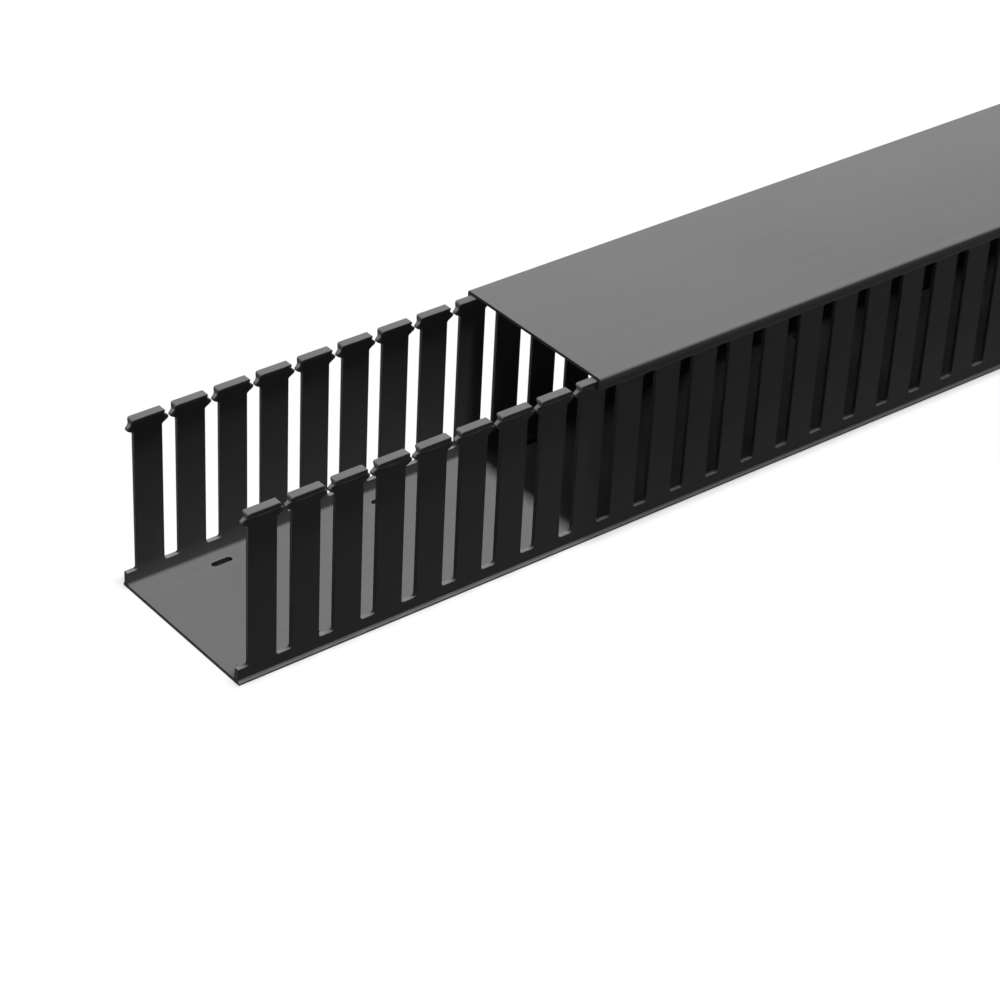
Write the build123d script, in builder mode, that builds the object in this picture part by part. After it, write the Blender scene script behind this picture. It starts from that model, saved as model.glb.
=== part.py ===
"""Slotted wire duct: one length of PVC raceway with its clip-on cover pushed back.

+X runs along the duct, +Z is up, and the walls stand at -Y and +Y.
The origin is the middle of the base's underside. All sizes are in millimetres.
"""
import os

from build123d import *

# Stock length, sold in lengths of six feet
stock_length = 1828.8

# Slot pattern along the walls: one slot to each inch
slot_pitch = 25.4
slot_width = 8.7
end_slot = 6.2
slot_bottom = 9.1

# Base section
floor_width = 104.0
floor_thickness = 2.0
wall_height = 98.9
wall_inset = 1.0
finger_thickness = 2.5

# Foot of each wall: a rail thickens it inwards, and a small slope runs out to the floor's edge
rail_thickness = 3.4
rail_top = 12.0
slope_top = 3.2
slope_foot = 1.2

# Hooked head of each finger, which carries the cover
head_reach = 1.5
head_face = 2.6
head_inner_reach = 1.2
head_inner_drop = 2.6
head_gap = 6.0
head_side = 4.0
throat_depth = 5.3
throat_gap = 1.2
shoulder_depth = 7.7

# Slotted holes in the floor for screws or rivets
hole_length = 12.7
hole_width = 4.0
hole_pitch = 101.6
hole_row_spacing = 77.0
hole_first = 50.8
hole_count = 18

# Cover section and its place when it is pushed back
cover_thickness = 1.8
cover_skirt_thickness = 1.7
cover_skirt_drop = 5.2
cover_lip_reach = 1.4
cover_edge_radius = 1.2
cover_clearance = 0.3
cover_setback = 218.4

# Planes and heights worked out from the sizes above
front_end = -stock_length / 2
floor_half = floor_width / 2
finger_outer = floor_half - wall_inset
finger_inner = finger_outer - finger_thickness
head_outer = finger_outer + head_reach
head_under = wall_height - head_face
head_inner = finger_inner - head_inner_reach
head_inner_under = wall_height - head_inner_drop
rail_inner = finger_outer - rail_thickness
slot_count = int((stock_length - end_slot) // slot_pitch) + 2

os.makedirs("parts", exist_ok=True)

# Wire slot outline: straight sides, a narrow throat and a wider mouth between two heads
with BuildSketch() as wire_slot:
    with BuildLine():
        Polyline(
            (-slot_width / 2, slot_bottom),
            (-slot_width / 2, wall_height - shoulder_depth),
            (-throat_gap / 2, wall_height - throat_depth),
            (-head_gap / 2, wall_height - head_side),
            (-head_gap / 2, wall_height + head_face),
            (head_gap / 2, wall_height + head_face),
            (head_gap / 2, wall_height - head_side),
            (throat_gap / 2, wall_height - throat_depth),
            (slot_width / 2, wall_height - shoulder_depth),
            (slot_width / 2, slot_bottom),
            close=True,
        )
    make_face()

# Places of the wire slots; the duct is cut to length part way through the first and the last
first_slot = front_end + end_slot - slot_width / 2
last_slot = first_slot + (slot_count - 1) * slot_pitch
slot_centres = [(first_slot + index * slot_pitch, 0) for index in range(slot_count)]

# Base: the extruded channel with its slots and floor holes
with BuildPart() as duct_base:
    # Channel section, drawn for the wall at +Y and mirrored
    with BuildSketch(Plane.YZ.offset(front_end)):
        with BuildLine():
            Polyline(
                (0, 0),
                (floor_half, 0),
                (floor_half, slope_foot),
                (finger_outer, slope_top),
                (finger_outer, head_under - head_reach),
                (head_outer, head_under),
                (head_outer, wall_height),
                (head_inner, wall_height),
                (finger_inner, head_inner_under),
                (finger_inner, rail_top),
                (rail_inner, floor_thickness),
                (0, floor_thickness),
                close=True,
            )
        make_face()
        mirror(about=Plane.YZ)
    extrude(amount=stock_length)

    # Wire slots, punched through both walls at once, with nothing left standing past the end fingers
    with BuildSketch(Plane.XZ.offset(-floor_width)):
        with Locations(*slot_centres):
            add(wire_slot.sketch)
        with Locations((first_slot, slot_bottom)):
            Rectangle(slot_pitch, wall_height, align=(Align.MAX, Align.MIN))
        with Locations((last_slot, slot_bottom)):
            Rectangle(slot_pitch, wall_height, align=(Align.MIN, Align.MIN))
    extrude(amount=2 * floor_width, mode=Mode.SUBTRACT)

    # Mounting slots through the floor, long way along the duct, in two rows
    hole_start = front_end + hole_first
    with BuildSketch(Plane.XY):
        hole_centres = [
            (hole_start + index * hole_pitch, side * hole_row_spacing / 2)
            for index in range(hole_count)
            for side in (-1, 1)
        ]
        with Locations(*hole_centres):
            SlotOverall(hole_length, hole_width)
    extrude(amount=floor_thickness, mode=Mode.SUBTRACT)

duct_base.part.label = "duct_base"
export_step(duct_base.part, "parts/duct_base.step")

# Cover: a flat lid with a hooked skirt down each side, clear of the heads that it slides along
cover_front = front_end + cover_setback
cover_under = wall_height + cover_clearance
cover_top = cover_under + cover_thickness
skirt_inner = head_outer + cover_clearance
skirt_outer = skirt_inner + cover_skirt_thickness
skirt_bottom = wall_height - cover_skirt_drop
lip_edge = skirt_inner - cover_lip_reach
with BuildPart() as duct_cover:
    # Cover section, drawn for +Y and mirrored
    with BuildSketch(Plane.YZ.offset(cover_front)):
        with BuildLine():
            Polyline(
                (0, cover_under),
                (skirt_inner, cover_under),
                (skirt_inner, skirt_bottom + cover_lip_reach + cover_skirt_thickness / 2),
                (lip_edge, skirt_bottom + cover_skirt_thickness / 2),
                (lip_edge, skirt_bottom),
                (skirt_outer, skirt_bottom),
                (skirt_outer, cover_top - cover_edge_radius),
            )
            RadiusArc(
                (skirt_outer, cover_top - cover_edge_radius),
                (skirt_outer - cover_edge_radius, cover_top),
                -cover_edge_radius,
            )
            Polyline(
                (skirt_outer - cover_edge_radius, cover_top),
                (0, cover_top),
                (0, cover_under),
            )
        make_face()
        mirror(about=Plane.YZ)
    extrude(amount=stock_length)

duct_cover.part.label = "duct_cover"
export_step(duct_cover.part, "parts/duct_cover.step")
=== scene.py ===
"""Slotted wire duct in black PVC, with its clip-on cover pushed back from the open end.

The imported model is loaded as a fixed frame. Each of its two pieces is then replaced by a finer
surface worked out with numpy: the finger-walled base and the cover. Lengths in the two pieces'
classes are in millimetres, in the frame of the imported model, and become metres when a mesh is
made. The studio is in metres throughout.
"""
import logging
import math
from dataclasses import dataclass, field
from enum import Enum

import bmesh
import bpy
import numpy as np
from mathutils import Matrix, Vector
from mathutils.geometry import delaunay_2d_cdt


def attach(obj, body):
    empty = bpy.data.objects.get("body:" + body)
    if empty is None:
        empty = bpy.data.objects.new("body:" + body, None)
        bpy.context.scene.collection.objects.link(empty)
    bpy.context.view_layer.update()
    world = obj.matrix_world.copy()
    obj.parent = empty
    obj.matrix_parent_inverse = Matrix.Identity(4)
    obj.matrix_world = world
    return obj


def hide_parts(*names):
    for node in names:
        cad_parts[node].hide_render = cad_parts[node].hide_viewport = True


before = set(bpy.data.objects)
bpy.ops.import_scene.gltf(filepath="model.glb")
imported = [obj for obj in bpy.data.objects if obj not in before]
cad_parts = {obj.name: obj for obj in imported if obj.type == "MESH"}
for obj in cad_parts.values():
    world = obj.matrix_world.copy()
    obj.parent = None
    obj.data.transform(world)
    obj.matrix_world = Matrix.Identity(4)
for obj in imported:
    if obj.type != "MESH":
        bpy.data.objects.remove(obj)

log = logging.getLogger("wire_duct")

# Metres in a millimetre, and how near points weld, in metres
MM = 0.001
WELD = 2e-6

# Error allowed in filling the floor, in millimetres
FILL_ERROR = 1e-6

# Shader values, and a colour Mix node's socket numbers
NOISE_MEAN = 0.5
WHITE = (1.0, 1.0, 1.0, 1.0)
MIX_FACTOR, MIX_FROM, MIX_TO, MIX_RESULT = 0, 6, 7, 2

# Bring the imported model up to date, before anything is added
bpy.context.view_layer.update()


# Surfaces
class Shell:
    """Patches of one closed surface, gathered as arrays and welded into one mesh."""

    def __init__(self) -> None:
        """Starts with no patches."""
        self.points: list[np.ndarray] = []
        self.faces: list[tuple[int, ...]] = []
        self.cut: list[np.ndarray] = []
        self.count = 0

    def add(self, points: np.ndarray, faces: np.ndarray | list, cut: float | np.ndarray = 0.0) -> None:
        """Adds a patch.

        Args:
            points: Corner places, one row of x, y and z each.
            faces: Faces as rows of indices into points.
            cut: How far the finish is a sawn or punched one, from 0 to 1, for all faces or each; on the
                foot's slope it is a painted highlight instead.
        """
        points = np.asarray(points, float).reshape(-1, 3)
        self.faces += [tuple(int(i) + self.count for i in face) for face in faces]
        self.points.append(points)
        self.cut.append(np.broadcast_to(cut, len(faces)))
        self.count += len(points)

    def grid(
        self,
        points: np.ndarray,
        around: bool = False,
        cut: float | np.ndarray = 0.0,
        keep: np.ndarray | None = None,
    ) -> None:
        """Adds a surface of two parameters: rows and columns of points joined by quads.

        Args:
            points: Array of rows, columns and x, y, z.
            around: True where the last column joins the first one.
            cut: How far the finish is a sawn or punched one, for all quads or each; on the foot's slope it is
                a painted highlight instead.
            keep: Mask of the columns that get a quad, or None for all of them.
        """
        rows, columns = points.shape[:2]
        across = np.arange(columns if around else columns - 1)
        if keep is not None:
            across = across[keep]
        a = (np.arange(rows - 1)[:, None] * columns + across[None, :]).ravel()
        b = (np.arange(rows - 1)[:, None] * columns + ((across + 1) % columns)[None, :]).ravel()
        self.add(points, np.stack([a, b, b + columns, a + columns], 1), cut)

    def mesh(self, name: str, crease: float = 34.0) -> bpy.types.Object:
        """Welds the patches, turns every face outwards and makes the object.

        Args:
            name: Name of the object and of its mesh.
            crease: Angle in degrees between two faces past which their edge stays sharp.

        Returns:
            The new object, linked to the scene and standing at the origin.
        """
        data = bpy.data.meshes.new(name)
        data.from_pydata((np.concatenate(self.points) * MM).tolist(), [], self.faces)
        layer = data.attributes.new("cut_face_and_highlight", "FLOAT", "FACE")
        layer.data.foreach_set("value", np.concatenate(self.cut).astype(np.float32))
        work = bmesh.new()
        work.from_mesh(data)
        bmesh.ops.remove_doubles(work, verts=work.verts, dist=WELD)
        bmesh.ops.recalc_face_normals(work, faces=work.faces)
        loose = sum(1 for edge in work.edges if len(edge.link_faces) != 2)
        work.to_mesh(data)
        work.free()
        data.shade_smooth()
        data.set_sharp_from_angle(angle=math.radians(crease))
        data.update()
        piece = bpy.data.objects.new(name, data)
        bpy.context.collection.objects.link(piece)
        log.info("%s: %d faces, %d open edges", name, len(data.polygons), loose)
        return piece


def arc(centre: tuple[float, float], radius: float, start: float, end: float, steps: int) -> np.ndarray:
    """Points of an arc: the centre plus the radius times the cosine and sine of an even run of angles.

    Args:
        centre: Middle of the arc.
        radius: Its radius.
        start: First angle in degrees, from the first axis towards the second.
        end: Last angle in degrees.
        steps: Number of chords.

    Returns:
        Array of steps + 1 rows of two coordinates.
    """
    angle = np.radians(np.linspace(start, end, steps + 1))
    return np.stack([centre[0] + radius * np.cos(angle), centre[1] + radius * np.sin(angle)], 1)


def ease(start: tuple[float, float], end: tuple[float, float], steps: int) -> np.ndarray:
    """Points of an upright S curve, whose height runs evenly while its breadth eases in and out.

    At a share t of the height, the share of the breadth is t squared times 3 less twice t.

    Args:
        start: First point.
        end: Last point.
        steps: Number of chords.

    Returns:
        Array of steps + 1 rows of two coordinates.
    """
    share = np.linspace(0.0, 1.0, steps + 1)
    eased = share**2 * (3 - 2 * share)
    return np.stack([start[0] + (end[0] - start[0]) * eased, start[1] + (end[1] - start[1]) * share], 1)


def carry(section: np.ndarray, stations: np.ndarray) -> np.ndarray:
    """Repeats a section at each station along the duct.

    Args:
        section: Rows of y and z.
        stations: Places along x.

    Returns:
        Array of section points, stations and x, y, z.
    """
    points = np.empty((len(section), len(stations), 3))
    points[..., 0] = stations
    points[..., 1:] = section[:, None]
    return points


# Finger-walled base
class Wall(Enum):
    """The two finger walls, by the sign of the side of the duct that they stand on."""

    NEAR = -1
    FAR = 1


@dataclass
class DuctBase:
    """The finger-walled channel: a floor with mounting slots and two walls of hooked fingers.

    Attributes:
        length: The whole length between the two sawn ends.
        pitch: From one wire slot to the next.
        slot_width: Breadth of a wire slot between two fingers' straight sides.
        end_slot: Breadth of the part slot at the front, where the saw went through.
        slot_bottom: Height of the slots' flat bottom.
        slot_corner: Radius in the slots' bottom corners.
        floor_half: From the middle out to the floor's edge.
        floor_thickness: Thickness of the floor.
        height: Top of the heads above the underside.
        outer: From the middle out to the wall's outside.
        inner: From the middle out to the fingers' inside.
        rail_inner: From the middle out to the rail's inside at the floor.
        rail_top: Height at which the rail's taper ends and the finger begins.
        rail_fillet: Radius between the rail and the floor.
        slope_top: Height at which the outside's slope leaves the wall.
        slope_foot: Height at which it meets the floor's edge.
        slope_short: How far it stops short of that edge.
        slope_bend: Power that hollows the slope; 1 is straight.
        slope_painted_highlight: How far the slope's colour is painted pale, a painted highlight for the light
            that falls on it.
        foot_round: Radius over the floor's edge.
        foot_turn: Angle in degrees at which that rounding starts.
        sole_round: Radius under the floor's edge.
        head_outer: From the middle out to the hook's upright face.
        head_inner: From the middle out to the edge of the head's inner lip.
        head_face: Height of the hook's upright face.
        head_reach: Height of the slope under that face.
        head_gap: Mouth of a slot between two heads.
        head_side: Height of a head's upright side above the lobe.
        head_corner: Radius of a head's upper corners.
        lip_drop: How far down the inner lip starts.
        lip_face: Height of the lip's nearly upright face.
        lip_lean: How far that face leans in.
        throat_gap: Narrowest part of a slot, between two lobes.
        throat_top: Depth below the top at which the throat ends.
        throat_foot: Depth below the top at which it begins.
        shoulder_depth: Depth below the top at which a finger starts to swell to its lobe.
        edge: Small rounding of the punched edges.
        hole_length: Whole length of a mounting slot.
        hole_width: Its breadth.
        hole_pitch: From one to the next along the duct.
        hole_rows: Between the two rows.
        hole_first: From the front end to the first one's middle.
        hole_count: Number in a row.
        hole_edge: Rounding of their rims.
        side_cut: How far the punched sides and sawn ends look cut.
        round_steps: Chords in a small rounding.
        rail_steps: Chords in the rail's fillet.
        curve_steps: Chords in the slope and in each half of a lobe.
        foot_steps: Chords over the floor's edge.
        hole_steps: Chords round each end of a mounting slot.
        shell: The surface as far as it is built.
    """

    length: float = 1828.8
    pitch: float = 25.4
    slot_width: float = 8.7
    end_slot: float = 6.2
    slot_bottom: float = 9.1
    slot_corner: float = 1.0
    floor_half: float = 52.0
    floor_thickness: float = 2.0
    height: float = 98.9
    outer: float = 51.0
    inner: float = 48.5
    rail_inner: float = 47.6
    rail_top: float = 12.0
    rail_fillet: float = 1.5
    slope_top: float = 2.6
    slope_foot: float = 1.2
    slope_short: float = 0.1
    slope_bend: float = 1.6
    slope_painted_highlight: float = 1.0
    foot_round: float = 0.2
    foot_turn: float = 40.0
    sole_round: float = 0.3
    head_outer: float = 52.5
    head_inner: float = 47.3
    head_face: float = 2.6
    head_reach: float = 1.5
    head_gap: float = 6.0
    head_side: float = 2.7
    head_corner: float = 1.1
    lip_drop: float = 2.6
    lip_face: float = 1.2
    lip_lean: float = 0.3
    throat_gap: float = 1.2
    throat_top: float = 5.1
    throat_foot: float = 5.9
    shoulder_depth: float = 8.9
    edge: float = 0.28
    hole_length: float = 12.7
    hole_width: float = 4.0
    hole_pitch: float = 101.6
    hole_rows: float = 77.0
    hole_first: float = 50.8
    hole_count: int = 18
    hole_edge: float = 0.2
    side_cut: float = 0.15
    round_steps: int = 3
    rail_steps: int = 4
    curve_steps: int = 6
    foot_steps: int = 2
    hole_steps: int = 8
    shell: Shell = field(default_factory=Shell)

    @property
    def front(self) -> float:
        """Place of the open end along the duct."""
        return -self.length / 2

    @property
    def finger_centres(self) -> np.ndarray:
        """Middles of the fingers along the duct, half a pitch on from each slot but the last."""
        first = self.front + self.end_slot - self.slot_width / 2
        count = int((self.length - self.end_slot) // self.pitch) + 1
        return first + self.pitch * (np.arange(count) + 0.5)

    def outer_plane(self, z: np.ndarray) -> np.ndarray:
        """Outside of the wall at height z: flat, then a slope out under the hook and its upright face."""
        top = self.height - self.head_face
        return np.interp(z, [top - self.head_reach, top], [self.outer, self.head_outer])

    def inner_plane(self, z: np.ndarray) -> np.ndarray:
        """Inside of the wall at height z: the rail's taper up to the finger, flat, then the head's lip."""
        lip = [self.height - self.lip_drop, self.height - self.lip_face, self.height]
        heights = [self.floor_thickness, self.rail_top, *lip]
        depths = [self.rail_inner, self.inner, self.inner, self.head_inner + self.lip_lean, self.head_inner]
        return np.interp(z, heights, depths)

    def finger_side(self) -> np.ndarray:
        """Outline of a finger's side, from the slot's flat bottom up to the top of the head.

        Half the finger's width against height: a quarter circle out of the slot's bottom, a straight
        side, an S curve out to the lobe at the throat, one back in to the mouth, and a rounded corner.

        Returns:
            Rows of half width and height.
        """
        straight = (self.pitch - self.slot_width) / 2
        lobe = (self.pitch - self.throat_gap) / 2
        mouth = (self.pitch - self.head_gap) / 2
        bend, corner = self.slot_corner, self.head_corner
        shoulder, foot, top, side = (
            self.height - depth
            for depth in (self.shoulder_depth, self.throat_foot, self.throat_top, self.head_side)
        )
        return np.concatenate([
            arc((straight + bend, self.slot_bottom + bend), bend, 270, 180, self.round_steps),
            [[straight, self.rail_top]],
            ease((straight, shoulder), (lobe, foot), self.curve_steps),
            ease((lobe, top), (mouth, side), self.curve_steps),
            arc((mouth - corner, self.height - corner), corner, 0, 90, self.round_steps),
        ])

    def rings(self) -> np.ndarray:
        """Rings of eight points up one finger: its faces' edges drawn in by the small edge rounding.

        The side outline, moved in along its own normal by the rounding, bounds the two faces. The
        outline itself, moved in across the wall by the same amount, bounds the punched side. The
        lowest ring drops straight down instead, so that it meets the foot.

        Returns:
            Places for a finger at x = 0 of the far wall, as an array of rings, points and x, y, z.
        """
        side = self.finger_side()
        level = np.array([[1.0, 0.0]])
        step = np.diff(np.concatenate([side[:1] + level, side, side[-1:] - level]), axis=0)
        step /= np.linalg.norm(step, axis=1)[:, None]
        along = step[1:] + step[:-1]
        along /= np.linalg.norm(along, axis=1)[:, None]
        face = side - self.edge * np.stack([along[:, 1], -along[:, 0]], 1)
        face[0] = side[0] - [0.0, self.edge]
        (w, z), (fw, fz) = side.T, face.T
        right = [
            (fw, self.outer_plane(fz), fz),
            (w, self.outer_plane(z) - self.edge, z),
            (w, self.inner_plane(z) + self.edge, z),
            (fw, self.inner_plane(fz), fz),
        ]
        left = [(-a, b, c) for a, b, c in right[::-1]]
        return np.array([np.stack(point, 1) for point in right + left]).transpose(1, 0, 2)

    def fingers(self, wall: Wall) -> None:
        """Adds the fingers of one wall: the same rings carried to each finger's place, and closed on top.

        The saw takes off what the last finger's lobe would stand past the rear end.

        Args:
            wall: The wall that they stand on.
        """
        ring = self.rings()
        columns = ring.shape[1]
        faces = (columns // 2 - 1, columns - 1)
        for centre in self.finger_centres:
            points = ring * [1, wall.value, 1] + [centre, 0, 0]
            points[..., 0] = np.minimum(points[..., 0], -self.front)
            for column in range(columns):
                pair = points[:, [column, (column + 1) % columns]]
                self.shell.grid(pair, cut=0.0 if column in faces else self.side_cut)
            self.shell.add(points[-1], [(0, 1, 6, 7), (1, 2, 5, 6), (2, 3, 4, 5)])
        log.info("%s wall: %d fingers of %d rings", wall.name, len(self.finger_centres), len(ring))

    def foot_outside(self) -> np.ndarray:
        """Section of the foot's outside: down from the slots, out a hollow slope, round the floor's edge.

        At a share t of the slope's reach, its height is the foot's plus the rise times 1 less t, to
        the power of the bend.

        Returns:
            Rows of breadth and height.
        """
        share = np.linspace(0.0, 1.0, self.curve_steps + 1)
        reach = self.floor_half - self.slope_short - self.outer
        rise = (self.slope_top - self.slope_foot) * (1 - share) ** self.slope_bend
        hollow = np.stack([self.outer + reach * share, self.slope_foot + rise], 1)
        over, under = self.foot_round, self.sole_round
        return np.concatenate([
            [[self.outer, self.slot_bottom - self.edge], [self.outer, self.slope_top + self.edge]],
            hollow,
            arc((self.floor_half - over, self.slope_foot - over), over, self.foot_turn, 0, self.foot_steps),
            arc((self.floor_half - under, under), under, 0, -90, self.round_steps),
        ])

    def foot_inside(self) -> np.ndarray:
        """Section of the foot's inside, from under the slots down to the floor, with a fillet."""
        low, bend = self.slot_bottom - self.edge, self.rail_fillet
        top, side = (float(self.inner_plane(np.array(z))) for z in (low, self.floor_thickness + bend))
        fillet = arc((side - bend, self.floor_thickness + bend), bend, 0, -90, self.rail_steps)
        return np.concatenate([[[top, low]], fillet])

    def slot_strip(self) -> np.ndarray:
        """Section across the slots' flat bottom, from the outside to the inside, with its edges rounded."""
        low, high = self.slot_bottom - self.edge, self.slot_bottom
        inside, inside_low = (float(self.inner_plane(np.array(z))) for z in (high, low))
        return np.array([
            [self.outer, low],
            [self.outer - self.edge, high],
            [inside + self.edge, high],
            [inside_low, low],
        ])

    def stations(self) -> np.ndarray:
        """Places along the duct where a finger's foot begins or ends, with the two sawn ends."""
        reach = float(self.finger_side()[0, 0])
        both = np.stack([self.finger_centres - reach, self.finger_centres + reach], 1).ravel()
        return np.concatenate([[self.front], both, [-self.front]])

    def feet(self, wall: Wall) -> None:
        """Adds a wall's foot: its sections carried along the stations, and the slots' flat bottoms.

        Args:
            wall: The wall that the foot carries.
        """
        stations, turned = self.stations(), [wall.value, 1]
        outside = self.foot_outside()
        # Painted highlight: the faces of the foot's slope take the pale cut colour, standing in for the light
        # that falls on them.
        sloping = (outside[1:, 1] < self.slope_top) & (outside[1:, 1] > self.slope_foot - self.edge)
        slope_highlight_share = np.repeat(np.where(sloping, self.slope_painted_highlight, 0.0), len(stations) - 1)
        self.shell.grid(carry(outside * turned, stations), cut=slope_highlight_share)
        self.shell.grid(carry(self.foot_inside() * turned, stations))
        gaps = np.arange(len(stations) - 1) % 2 == 0
        self.shell.grid(carry(self.slot_strip() * turned, stations), cut=1.0, keep=gaps)

    @property
    def hole_places(self) -> np.ndarray:
        """Middles of the mounting slots, one row of x and y each."""
        start = self.front + self.hole_first
        return np.array([
            (start + index * self.hole_pitch, wall.value * self.hole_rows / 2)
            for index in range(self.hole_count)
            for wall in Wall
        ])

    def hole_loop(self, grow: float) -> np.ndarray:
        """Outline of a mounting slot about its own middle: two half circles joined by straight sides."""
        radius = self.hole_width / 2 + grow
        half = (self.hole_length - self.hole_width) / 2
        return np.concatenate([
            arc((half, 0), radius, -90, 90, self.hole_steps),
            arc((-half, 0), radius, 90, 270, self.hole_steps),
        ])

    def hole_walls(self) -> None:
        """Adds the punched walls of the mounting slots, with rounded rims above and below."""
        top, soft = self.floor_thickness, self.hole_edge
        levels = [(top, soft), (top - soft, 0.0), (soft, 0.0), (0.0, soft)]
        for place in self.hole_places:
            rings = [np.insert(self.hole_loop(grow) + place, 2, z, axis=1) for z, grow in levels]
            self.shell.grid(np.array(rings), around=True, cut=1.0)

    def floor_face(self, z: float, half: float) -> None:
        """Adds one face of the floor, filled with triangles between the feet and round the mounting slots.

        Args:
            z: Height of the face.
            half: From the middle out to its long edges.
        """
        stations, places = self.stations(), self.hole_places
        near, far = (np.stack([stations, np.full_like(stations, y)], 1) for y in (-half, half))
        loops = [np.concatenate([near, far[::-1]])]
        loops += [self.hole_loop(self.hole_edge) + place for place in places]
        edges, base = [], 0
        for loop in loops:
            index = np.arange(len(loop))
            edges += np.stack([base + index, base + (index + 1) % len(loop)], 1).tolist()
            base += len(loop)
        corners = [Vector(p) for p in np.concatenate(loops)]
        filled = delaunay_2d_cdt(corners, edges, [], 1, FILL_ERROR)
        points, triangles = np.array([list(p) for p in filled[0]]), np.array(filled[2])
        apart = np.abs(points[triangles].mean(axis=1)[:, None] - places[None])
        apart -= [(self.hole_length - self.hole_width) / 2, 0]
        distance = np.hypot(np.maximum(apart[..., 0], 0), apart[..., 1])
        in_hole = (distance < self.hole_width / 2 + self.hole_edge).any(axis=1)
        self.shell.add(np.insert(points, 2, z, axis=1), triangles[~in_hole])

    def sawn_ends(self) -> None:
        """Closes the two sawn ends: a foot's whole section at each side and the floor's between them."""
        outside, inside, strip = self.foot_outside(), self.foot_inside(), self.slot_strip()
        foot = np.concatenate([outside, inside[::-1], strip[2:0:-1]])
        low, high = outside[-1], inside[-1]
        for x in (self.front, -self.front):
            for wall in Wall:
                points = np.insert(foot * [wall.value, 1], 0, x, axis=1)
                self.shell.add(points, [range(len(points))], cut=self.side_cut)
            plate = np.array([[x, *low], [x, *high], [x, -high[0], high[1]], [x, -low[0], low[1]]])
            self.shell.add(plate, [(0, 1, 2, 3)], cut=self.side_cut)

    def build(self) -> bpy.types.Object:
        """Builds the whole base as one closed surface.

        Returns:
            The base's object.
        """
        for wall in Wall:
            self.fingers(wall)
            self.feet(wall)
        self.hole_walls()
        self.floor_face(self.floor_thickness, self.foot_inside()[-1, 0])
        self.floor_face(0.0, self.foot_outside()[-1, 0])
        self.sawn_ends()
        return self.shell.mesh("finger_walled_base")


# Cover
@dataclass
class DuctCover:
    """The clip-on cover: a flat lid with a hooked skirt down each side.

    Attributes:
        length: The whole length between the two sawn ends.
        setback: How far it is pushed back from the base's front end.
        under: Height of the lid's underside.
        thickness: Thickness of the lid.
        skirt_inner: From the middle out to the skirt's inside.
        skirt_outer: From the middle out to its outside.
        skirt_bottom: Height of its lower edge.
        lip_edge: From the middle out to the edge of the hook's lip.
        lip_top: How far above the lower edge the lip's slope leaves the skirt.
        lip_foot: How far above the lower edge that slope ends.
        lip_set: How far it ends from the lip's edge.
        lip_round: Radius of the lip's edge.
        lip_turn: Angle in degrees at which that rounding starts.
        soft_round: Radius in the inner corner and of the skirt's heel.
        edge_radius: Radius of the lid's long edges.
        round_steps: Chords in a small rounding.
        edge_steps: Chords in the long edges' rounding.
        station_count: Number of sections along the cover.
    """

    length: float = 1828.8
    setback: float = 218.4
    under: float = 99.2
    thickness: float = 1.8
    skirt_inner: float = 52.8
    skirt_outer: float = 54.5
    skirt_bottom: float = 93.7
    lip_edge: float = 51.4
    lip_top: float = 2.25
    lip_foot: float = 0.95
    lip_set: float = 0.1
    lip_round: float = 0.4
    lip_turn: float = 160.0
    soft_round: float = 0.5
    edge_radius: float = 1.2
    round_steps: int = 3
    edge_steps: int = 5
    station_count: int = 13

    def half_section(self) -> np.ndarray:
        """Section of the cover's far half, from the middle of its underside round to that of its top."""
        top, bottom = self.under + self.thickness, self.skirt_bottom
        soft, lip, edge = self.soft_round, self.lip_round, self.edge_radius
        slope = [
            [self.skirt_inner, bottom + self.lip_top],
            [self.lip_edge + self.lip_set, bottom + self.lip_foot],
        ]
        return np.concatenate([
            [[0.0, self.under]],
            arc((self.skirt_inner - soft, self.under - soft), soft, 90, 0, self.round_steps),
            slope,
            arc((self.lip_edge + lip, bottom + lip), lip, self.lip_turn, 270, self.round_steps),
            arc((self.skirt_outer - soft, bottom + soft), soft, 270, 360, self.round_steps),
            arc((self.skirt_outer - edge, top - edge), edge, 0, 90, self.edge_steps),
            [[0.0, top]],
        ])

    def build(self) -> bpy.types.Object:
        """Carries the closed section along the duct and caps its two sawn ends.

        Returns:
            The cover's object.
        """
        half = self.half_section()
        section = np.concatenate([half, (half * [-1, 1])[-2:0:-1]])
        front = self.setback - self.length / 2
        stations = np.linspace(front, front + self.length, self.station_count)
        shell = Shell()
        shell.grid(carry(section, stations).swapaxes(0, 1), around=True)
        last = len(half) - 1
        for x in stations[[0, -1]]:
            cap = np.insert(section, 0, x, axis=1)
            shell.add(cap, [range(last + 1), [*range(last, len(section)), 0]], cut=1.0)
        return shell.mesh("clip_on_cover")


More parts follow.
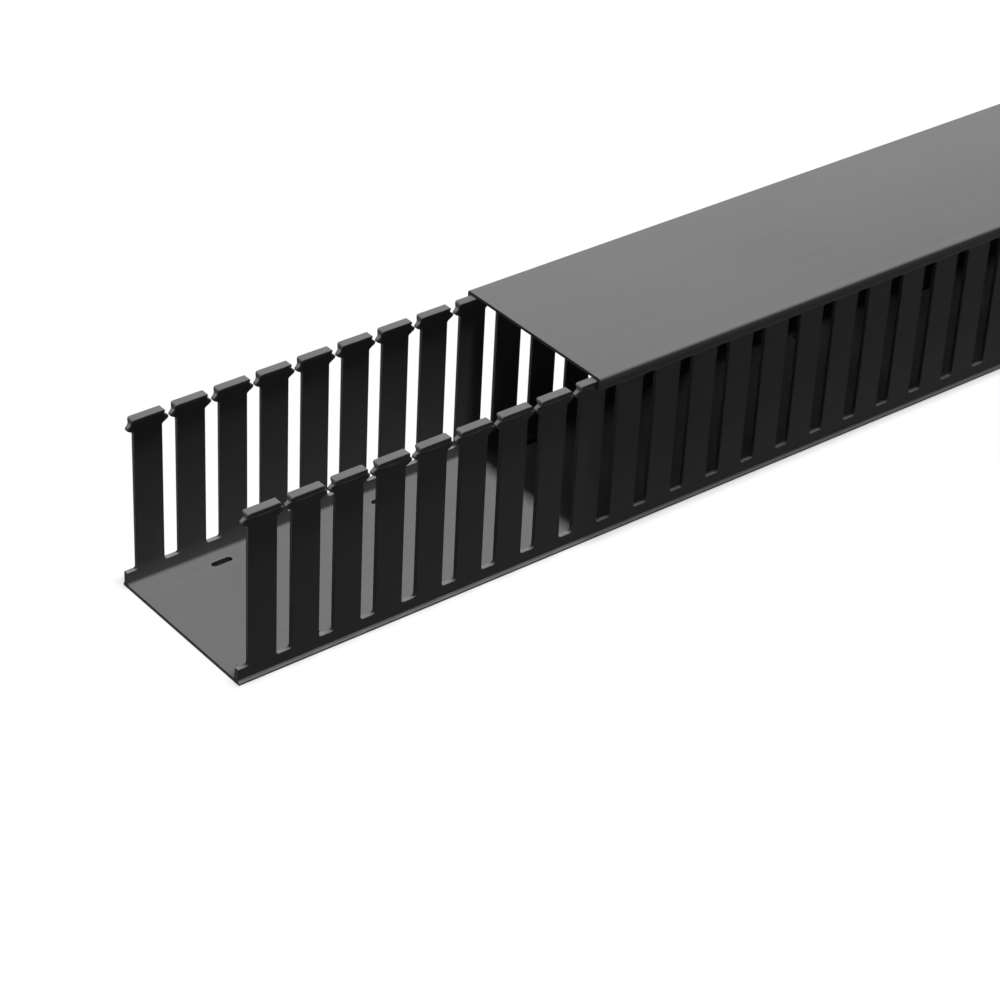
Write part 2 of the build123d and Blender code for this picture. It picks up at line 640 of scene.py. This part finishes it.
# Shader maths
class Socket:
    """A node's output, with the usual operators, so that shader maths reads as an expression."""

    def __init__(self, nodes: "Nodes", link: bpy.types.NodeSocket) -> None:
        """Keeps the tree's helper and the output."""
        self.nodes = nodes
        self.link = link

    def _maths(self, operation: str, *values: "Socket | float") -> "Socket":
        """Adds one Math node and gives its output."""
        return self.nodes.add("ShaderNodeMath", {"operation": operation}, dict(enumerate(values)))

    def __add__(self, other: "Socket | float") -> "Socket":
        """Sum."""
        return self._maths("ADD", self, other)

    def __radd__(self, other: float) -> "Socket":
        """Sum, with the number first."""
        return self._maths("ADD", other, self)

    def __sub__(self, other: "Socket | float") -> "Socket":
        """Difference."""
        return self._maths("SUBTRACT", self, other)

    def __rsub__(self, other: float) -> "Socket":
        """Difference, with the number first."""
        return self._maths("SUBTRACT", other, self)

    def __mul__(self, other: "Socket | float") -> "Socket":
        """Product."""
        return self._maths("MULTIPLY", self, other)

    def __rmul__(self, other: float) -> "Socket":
        """Product, with the number first."""
        return self._maths("MULTIPLY", other, self)

    def __abs__(self) -> "Socket":
        """Size, whatever the sign."""
        return self._maths("ABSOLUTE", self)

    def larger(self, other: "Socket | float") -> "Socket":
        """The larger of the two."""
        return self._maths("MAXIMUM", self, other)

    def clip(self, low: float, high: float) -> "Socket":
        """Runs from 0 at low to 1 at high, and stays there outside them."""
        inputs = {0: self, 1: low, 2: high, 3: 0.0, 4: 1.0}
        return self.nodes.add("ShaderNodeMapRange", {"clamp": True}, inputs)

    def other(self, output: int | str) -> "Socket":
        """Another output of the same node."""
        return Socket(self.nodes, self.link.node.outputs[output])


class Nodes:
    """One material's or the world's node tree, with a single method that adds any node."""

    def __init__(self, owner: bpy.types.Material | bpy.types.World) -> None:
        """Turns the owner's nodes on and empties its tree."""
        owner.use_nodes = True
        self.tree = owner.node_tree
        self.tree.nodes.clear()

    def add(
        self,
        kind: str,
        settings: dict[str, object] | None = None,
        inputs: dict[int | str, object] | None = None,
        output: int | str | None = 0,
    ) -> Socket | None:
        """Adds a node, sets it and joins its sockets.

        Args:
            kind: The node's type.
            settings: Its settings, set before the sockets.
            inputs: Values or links by socket name or number.
            output: The output to give back, or None for a node that has none.

        Returns:
            The chosen output.
        """
        node = self.tree.nodes.new(kind)
        for name, value in (settings or {}).items():
            setattr(node, name, value)
        for name, value in (inputs or {}).items():
            if isinstance(value, Socket):
                self.tree.links.new(value.link, node.inputs[name])
            else:
                node.inputs[name].default_value = value
        return None if output is None else Socket(self, node.outputs[output])


# Finish
@dataclass(frozen=True)
class ExtrudedPvc:
    """Black rigid PVC as extruded: satin, with fine lines along its length, duller and paler where it is cut,
    and painted paler as a highlight on the foot's slope.

    Attributes:
        name: The material's name.
        colour: Colour as extruded.
        cut_and_highlight_colour: Colour where it is sawn or punched, and of the painted highlight on the
            foot's slope.
        roughness: Roughness as extruded.
        cut_roughness: Roughness where it is sawn or punched, and on the painted highlight.
        specular: Strength of the surface's own reflection.
        refraction: Refractive index of PVC.
        line_scale: Fineness of the lines along x, y and z.
        line_breaks: How broken the lines are.
        cloud_scale: Fineness of the broad clouds.
        cloud_breaks: How broken the clouds are.
        grain_scale: Fineness of the grain.
        grain_breaks: How broken the grain is.
        octaves: Layers of each noise.
        unevenness: How much the clouds and the lines each change the roughness.
        cut_and_highlight_share: Share of the cut colour on a cut face.
        cloud_tint: Share of it that the clouds add anywhere.
        line_tint: Share of it that the lines add anywhere.
        grain_relief: Height of the grain against the lines' height.
        relief: Strength of the bump.
        relief_depth: Its depth in metres.
    """

    name: str
    colour: tuple[float, float, float] = (0.096, 0.096, 0.098)
    cut_and_highlight_colour: tuple[float, float, float] = (0.23, 0.23, 0.232)
    roughness: float = 0.44
    cut_roughness: float = 0.55
    specular: float = 0.05
    refraction: float = 1.5
    line_scale: tuple[float, float, float] = (0.15, 140.0, 140.0)
    line_breaks: float = 0.45
    cloud_scale: float = 9.0
    cloud_breaks: float = 0.5
    grain_scale: float = 1900.0
    grain_breaks: float = 0.6
    octaves: float = 2.0
    unevenness: float = 0.10
    # cut_and_highlight_share: Share of the cut colour on a cut face, and on the painted highlight.
    cut_and_highlight_share: float = 0.8
    cloud_tint: float = 0.10
    line_tint: float = 0.12
    grain_relief: float = 0.35
    relief: float = 0.05
    relief_depth: float = 0.00003

    def noise(self, nodes: Nodes, place: Socket, scale: float, breaks: float) -> Socket:
        """Noise from about 0 to 1 at a place, with a fineness and a share for each finer layer."""
        inputs = {"Vector": place, "Scale": scale, "Detail": self.octaves, "Roughness": breaks}
        return nodes.add("ShaderNodeTexNoise", inputs=inputs)

    def make(self) -> bpy.types.Material:
        """Makes the material from noise on Object coordinates.

        Roughness is the finish's own, moved towards the cut one where a face is cut, plus the clouds'
        and the lines' differences from their mean. The colour is mixed towards the cut colour by the
        face's own share, the clouds and the lines; on the foot's slope that share is a painted highlight.
        The bump is the lines plus a fine grain.

        Returns:
            The material.
        """
        material = bpy.data.materials.new(self.name)
        nodes = Nodes(material)
        place = nodes.add("ShaderNodeTexCoord", output="Object")
        along = nodes.add("ShaderNodeMapping", inputs={"Vector": place, "Scale": self.line_scale})
        lines = self.noise(nodes, along, 1.0, self.line_breaks)
        clouds = self.noise(nodes, place, self.cloud_scale, self.cloud_breaks)
        grain = self.noise(nodes, place, self.grain_scale, self.grain_breaks)
        # Each face's share of the pale cut colour: real on sawn and punched faces, a painted highlight on the
        # foot's slope.
        cut = nodes.add("ShaderNodeAttribute", {"attribute_name": "cut_face_and_highlight"}, output="Fac")
        uneven = (clouds - NOISE_MEAN) * self.unevenness + (lines - NOISE_MEAN) * self.unevenness
        rough = self.roughness + uneven + cut * (self.cut_roughness - self.roughness)
        tint = cut * self.cut_and_highlight_share + clouds * self.cloud_tint + lines * self.line_tint
        colour = nodes.add("ShaderNodeMix", {"data_type": "RGBA"}, {
            MIX_FACTOR: tint,
            MIX_FROM: (*self.colour, 1.0),
            MIX_TO: (*self.cut_and_highlight_colour, 1.0),
        }, output=MIX_RESULT)
        bump = nodes.add("ShaderNodeBump", inputs={
            "Strength": self.relief,
            "Distance": self.relief_depth,
            "Height": lines + grain * self.grain_relief,
        })
        shader = nodes.add("ShaderNodeBsdfPrincipled", inputs={
            "Base Color": colour,
            "Roughness": rough,
            "Normal": bump,
            "Specular IOR Level": self.specular,
            "IOR": self.refraction,
        })
        nodes.add("ShaderNodeOutputMaterial", inputs={"Surface": shader}, output=None)
        return material


# Studio
@dataclass(frozen=True)
class SoftLamp:
    """One soft square lamp: what it is for, where it hangs, its side in metres and its power in watts."""

    name: str
    place: tuple[float, float, float]
    size: float
    power: float

    def hang(self, aim: Vector) -> bpy.types.Object:
        """Adds the lamp, facing a point.

        Args:
            aim: The point that it faces.

        Returns:
            The lamp's object.
        """
        light = bpy.data.lights.new(self.name, "AREA")
        light.shape = "SQUARE"
        light.size = self.size
        light.energy = self.power
        lamp = bpy.data.objects.new(self.name, light)
        bpy.context.collection.objects.link(lamp)
        lamp.location = self.place
        lamp.rotation_euler = (aim - Vector(self.place)).to_track_quat("-Z", "Y").to_euler()
        log.info("%s: %.1f m across, %.0f W", self.name, self.size, self.power)
        return lamp


class Lamp(Enum):
    """The studio's lamps: a strong one over the duct, and a faint one behind it for its edges."""

    OVERHEAD = SoftLamp("lamp_overhead", (-0.62, -0.2, 7.0), 0.7, 725.0)
    BACK = SoftLamp("lamp_back", (0.9, 1.95, 1.7), 2.4, 16.0)


@dataclass
class Studio:
    """Plain pale floor, soft lamps, a white surround and the camera.

    Attributes:
        focal: The camera's focal length in millimetres.
        sensor: Its sensor's width in millimetres.
        azimuth: Angle in degrees round from -Y towards -X at which it stands.
        elevation: Angle in degrees above the floor.
        roll: How far it is rolled, in degrees.
        distance: From its aim back to the lens.
        aim_x: The aim's place along the duct, on its middle plane.
        aim_z: The aim's height.
        sight: The farthest that it sees.
        lamp_ahead: How far along the duct past the aim the lamps face.
        lamp_height: Height that they face.
        floor_reach: From the middle out to the floor's edge.
        floor_drop: How far the floor lies below the duct's underside.
        floor_tone: The floor's tone as seen.
        floor_bounce: Its tone for light that it passes on to the duct.
        painted_shadow_tone: Share of the tone left right under the duct, a painted shadow where no light gets
            in.
        painted_shadow_half: Distances across the duct between which that share rises to 1, where the painted
            shadow ends.
        painted_shadow_end: Distances along the duct between which it does.
        near_white: Share of plain white in the floor as seen near the duct.
        white_reach: Distances from the middle between which that share rises to 1.
        surround_level: Strength of the surround as light.
    """

    focal: float = 112.19
    sensor: float = 36.0
    azimuth: float = 39.886
    elevation: float = 33.603
    roll: float = 3.017
    distance: float = 1.65457
    aim_x: float = -0.712094
    aim_z: float = 0.003795
    sight: float = 60.0
    lamp_ahead: float = 0.1
    lamp_height: float = 0.05
    floor_reach: float = 14.0
    floor_drop: float = 0.0002
    floor_tone: float = 0.66
    floor_bounce: float = 0.03
    painted_shadow_tone: float = 0.02
    painted_shadow_half: tuple[float, float] = (0.050, 0.0515)
    painted_shadow_end: tuple[float, float] = (0.912, 0.914)
    near_white: float = 0.45
    white_reach: tuple[float, float] = (2.0, 6.0)
    surround_level: float = 0.02

    def camera(self) -> bpy.types.Object:
        """Stands the camera back from its aim along the viewing direction and rolls it.

        Returns:
            The camera's object.
        """
        turn, lift, roll = (math.radians(v) for v in (self.azimuth, self.elevation, self.roll))
        back = Vector((-math.sin(turn) * math.cos(lift), -math.cos(turn) * math.cos(lift), math.sin(lift)))
        right = (-back).cross(Vector((0, 0, 1))).normalized()
        up = right.cross(-back)
        right, up = right * math.cos(roll) + up * math.sin(roll), up * math.cos(roll) - right * math.sin(roll)
        eye = Vector((self.aim_x, 0, self.aim_z)) + back * self.distance
        lens = bpy.data.cameras.new("camera")
        lens.lens = self.focal
        lens.sensor_width = self.sensor
        lens.clip_end = self.sight
        camera = bpy.data.objects.new("camera", lens)
        bpy.context.collection.objects.link(camera)
        turned = Matrix((right, up, back)).transposed().to_4x4()
        camera.matrix_world = Matrix.Translation(eye) @ turned
        bpy.context.scene.camera = camera
        return camera

    def seen(self, nodes: Nodes) -> Socket:
        """1 for a ray from the camera, off gloss or through glass, and 0 for any other."""
        ray = nodes.add("ShaderNodeLightPath", output="Is Camera Ray")
        return ray.larger(ray.other("Is Glossy Ray").larger(ray.other("Is Transmission Ray")))

    def floor_material(self) -> bpy.types.Material:
        """Makes the floor's finish: matt and pale, shown partly as plain white where it is seen.

        The tone is the floor's as seen and a dark one as light. Both it and the white fall away right
        under the duct, a painted shadow there. The white's share rises from near the duct to the whole of it
        far out.

        Returns:
            The material.
        """
        material = bpy.data.materials.new("pale_floor")
        nodes = Nodes(material)
        place = nodes.add("ShaderNodeTexCoord", output="Object")
        along = nodes.add("ShaderNodeSeparateXYZ", inputs={0: place}, output="X")
        # Painted shadow: the floor's tone and its white drop right under the duct's footprint, standing in
        # for the shade there.
        outside_painted_shadow = abs(along.other("Y")).clip(*self.painted_shadow_half).larger(abs(along).clip(*self.painted_shadow_end))
        seen = self.seen(nodes)
        painted_shadow_factor = self.painted_shadow_tone + outside_painted_shadow * (1 - self.painted_shadow_tone)
        tone = (self.floor_bounce + seen * (self.floor_tone - self.floor_bounce)) * painted_shadow_factor
        pale = nodes.add("ShaderNodeCombineColor", inputs={0: tone, 1: tone, 2: tone})
        matt = nodes.add("ShaderNodeBsdfDiffuse", inputs={"Color": pale})
        white = nodes.add("ShaderNodeEmission", inputs={"Color": WHITE, "Strength": 1.0})
        reach = nodes.add("ShaderNodeVectorMath", {"operation": "LENGTH"}, {0: place}, output="Value")
        share = seen * outside_painted_shadow * (self.near_white + reach.clip(*self.white_reach) * (1 - self.near_white))
        both = nodes.add("ShaderNodeMixShader", inputs={0: share, 1: matt, 2: white})
        nodes.add("ShaderNodeOutputMaterial", inputs={"Surface": both}, output=None)
        return material

    def floor(self) -> bpy.types.Object:
        """Lays a wide pale floor at the height that the duct rests on.

        Returns:
            The floor's object.
        """
        half, drop = self.floor_reach, self.floor_drop
        corners = [(-half, -half, -drop), (half, -half, -drop), (half, half, -drop), (-half, half, -drop)]
        data = bpy.data.meshes.new("studio_floor")
        data.from_pydata(corners, [], [(0, 1, 2, 3)])
        data.materials.append(self.floor_material())
        floor = bpy.data.objects.new("studio_floor", data)
        bpy.context.collection.objects.link(floor)
        return floor

    def surround(self) -> None:
        """White where it is seen or mirrored, and a plain soft grey as light."""
        world = bpy.data.worlds.new("surround")
        bpy.context.scene.world = world
        nodes = Nodes(world)
        strength = self.surround_level + self.seen(nodes) * (1 - self.surround_level)
        plain = nodes.add("ShaderNodeBackground", inputs={"Color": WHITE, "Strength": strength})
        nodes.add("ShaderNodeOutputWorld", inputs={"Surface": plain}, output=None)

    def build(self) -> None:
        """Sets the view transform, the floor, the surround and the lamps."""
        bpy.context.scene.view_settings.view_transform = "Standard"
        self.floor()
        self.surround()
        aim = Vector((self.aim_x + self.lamp_ahead, 0.0, self.lamp_height))
        for lamp in Lamp:
            lamp.value.hang(aim)


# Scene
def dress(piece: bpy.types.Object, material: bpy.types.Material, body: str, node: str) -> None:
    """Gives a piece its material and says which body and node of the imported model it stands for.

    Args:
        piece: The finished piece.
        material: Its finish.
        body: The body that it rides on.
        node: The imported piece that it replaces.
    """
    piece.data.materials.append(material)
    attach(piece, body)
    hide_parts(node)
    log.info("%s rides on %s, replaces %s", piece.name, body, node)


def main() -> None:
    """Builds the camera, the two pieces and the studio."""
    logging.basicConfig(level=logging.INFO, format="%(name)s: %(message)s")
    studio = Studio()
    studio.camera()
    base_pvc = ExtrudedPvc("base_pvc").make()
    cover_pvc = ExtrudedPvc("cover_pvc", roughness=0.30).make()
    dress(DuctBase().build(), base_pvc, body="base", node="duct_base")
    dress(DuctCover().build(), cover_pvc, body="cover", node="duct_cover")
    studio.build()


if __name__ == "__main__":
    main()
